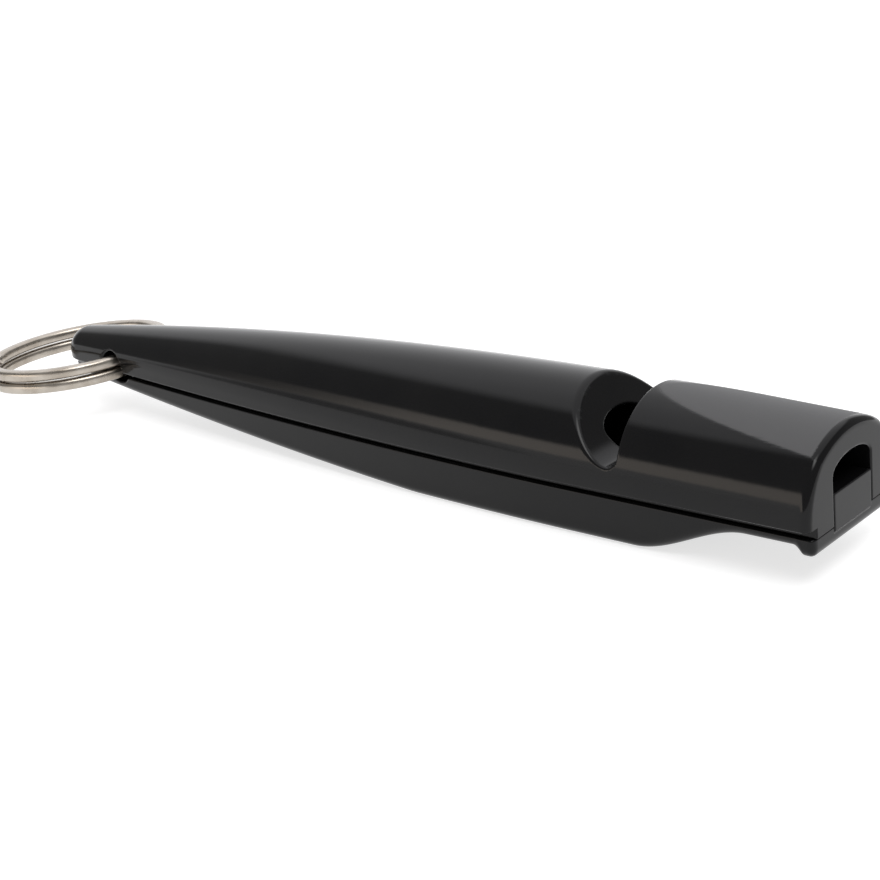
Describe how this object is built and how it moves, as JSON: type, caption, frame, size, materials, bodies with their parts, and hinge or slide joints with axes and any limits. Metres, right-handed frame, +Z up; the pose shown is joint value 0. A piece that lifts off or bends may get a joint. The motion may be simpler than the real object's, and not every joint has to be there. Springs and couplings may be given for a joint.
{
  "type": "dog whistle",
  "caption": "Tapered pealess dog whistle: a glossy moulded body with a windway, a sound window and a keel below a groove, and a split ring that swings in the tail.",
  "frame": {"origin": "on the surface that the whistle lies on, under the middle of its whole length with the ring", "axes": "+X towards the mouthpiece, +Z up through the window, Y across the body"},
  "size_m": [0.0934, 0.018, 0.011],
  "materials": {
    "body": "moulded black, glossy",
    "ring": "bright nickel plate on spring steel"
  },
  "bodies": {
    "whistle": {"upper_shell": "body", "lower_keel": "body"},
    "ring": {"split_ring": "ring"}
  },
  "joints": [
    {"name": "ring_swing", "type": "hinge", "parent": "whistle", "child": "ring", "pos_m": [-0.0295, 0, 0.0047], "axis": [0, 1, 0], "range_deg": [-150, 158]}
  ]
}
